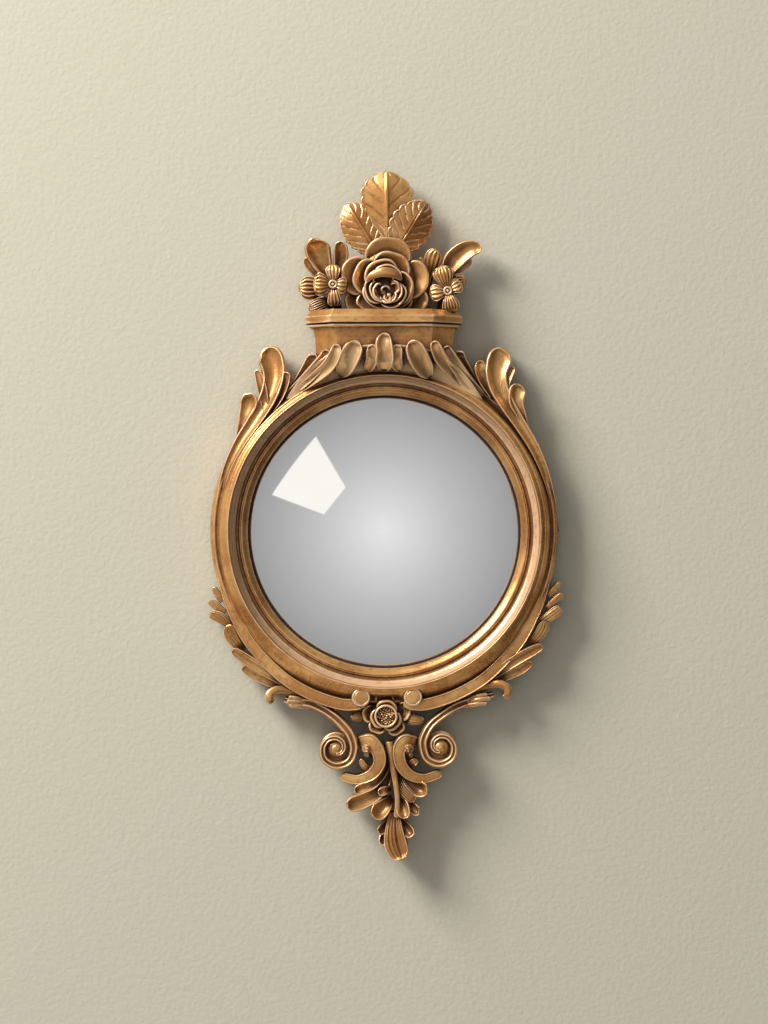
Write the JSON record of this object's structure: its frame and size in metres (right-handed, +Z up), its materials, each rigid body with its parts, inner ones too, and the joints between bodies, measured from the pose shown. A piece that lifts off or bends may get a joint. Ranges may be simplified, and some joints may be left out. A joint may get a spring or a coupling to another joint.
{
  "type": "convex butlers mirror",
  "caption": "Round convex wall mirror in a carved gilt frame with a rose crest, leaf sprays and a scrolled apron.",
  "frame": {"origin": "on the wall plane, on the axis of the round glass", "axes": "+Z up, +X to the right as seen from the room, the front faces -Y"},
  "size_m": [0.2372, 0.0472, 0.4586],
  "materials": {
    "gilt_moulding": "water gilding on turned wood, rubbed and toned brown in the hollows",
    "gilt_carving": "water gilding on carved wood, pinkish cream on the rubbed edges",
    "mirror_glass": "silvered, domed, polished",
    "black_seal": "matt black",
    "packing_felt": "grey felt",
    "back_wood": "plain sawn board",
    "brass": "satin",
    "steel": "zinc plated, satin",
    "felt": "dark felt pads"
  },
  "bodies": {
    "frame": {"frame_ring": "gilt_moulding", "convex_glass": "mirror_glass", "glazing_seal": "black_seal", "packing_disc": "packing_felt", "backboard": "back_wood", "turn_button_screws": "steel", "wall_bumpers": "felt", "crest_neck": "gilt_moulding", "crest_bead": "gilt_moulding", "crest_cap": "gilt_moulding", "hanger_plate": "steel", "hanger_screws": "steel", "frieze_leaves": "gilt_carving", "shoulder_leaf_left": "gilt_carving", "shoulder_leaf_right": "gilt_carving", "side_sprig_left": "gilt_carving", "side_sprig_right": "gilt_carving", "lower_leaf_left": "gilt_carving", "lower_leaf_right": "gilt_carving", "rim_scroll_left": "gilt_carving", "rim_scroll_right": "gilt_carving", "hook_curl_left": "gilt_carving", "hook_curl_right": "gilt_carving", "apron_volute_left": "gilt_carving", "apron_volute_right": "gilt_carving", "apron_scroll_left": "gilt_carving", "apron_scroll_right": "gilt_carving", "apron_rose": "gilt_carving", "apron_rose_heart": "gilt_carving", "apron_leaf_left": "gilt_carving", "apron_leaf_right": "gilt_carving", "pendant_leaf": "gilt_carving", "pendant_tip": "gilt_carving", "crest_leaf_top": "gilt_carving", "crest_leaf_left": "gilt_carving", "crest_leaf_right": "gilt_carving", "crest_rose": "gilt_carving", "crest_rose_heart": "gilt_carving", "crest_cup_leaf_left": "gilt_carving", "crest_small_leaf_left": "gilt_carving", "crest_tongue_leaf_right": "gilt_carving", "crest_horn_leaf_right": "gilt_carving", "crest_bud_right": "gilt_carving", "crest_flower_left": "gilt_carving", "crest_flower_right": "gilt_carving", "crest_petal_left": "gilt_carving", "crest_low_leaf_left": "gilt_carving", "crest_petal_right": "gilt_carving"},
    "turn_button_1": {"turn_button_1": "brass"},
    "turn_button_2": {"turn_button_2": "brass"},
    "turn_button_3": {"turn_button_3": "brass"},
    "turn_button_4": {"turn_button_4": "brass"},
    "hanger_ring": {"hanger_ring": "steel"}
  },
  "joints": [
    {"name": "turn_button_1_turn", "type": "hinge", "parent": "frame", "child": "turn_button_1", "pos_m": [0.07425, -0.0034, 0.07425], "axis": [0, 1, 0], "continuous": true},
    {"name": "turn_button_2_turn", "type": "hinge", "parent": "frame", "child": "turn_button_2", "pos_m": [-0.07425, -0.0034, 0.07425], "axis": [0, 1, 0], "continuous": true},
    {"name": "turn_button_3_turn", "type": "hinge", "parent": "frame", "child": "turn_button_3", "pos_m": [-0.07425, -0.0034, -0.07425], "axis": [0, 1, 0], "continuous": true},
    {"name": "turn_button_4_turn", "type": "hinge", "parent": "frame", "child": "turn_button_4", "pos_m": [0.07425, -0.0034, -0.07425], "axis": [0, 1, 0], "continuous": true},
    {"name": "hanger_swing", "type": "hinge", "parent": "frame", "child": "hanger_ring", "pos_m": [0, -0.0021, 0.1405], "axis": [-1, 0, 0], "range_deg": [0, 150]}
  ]
}
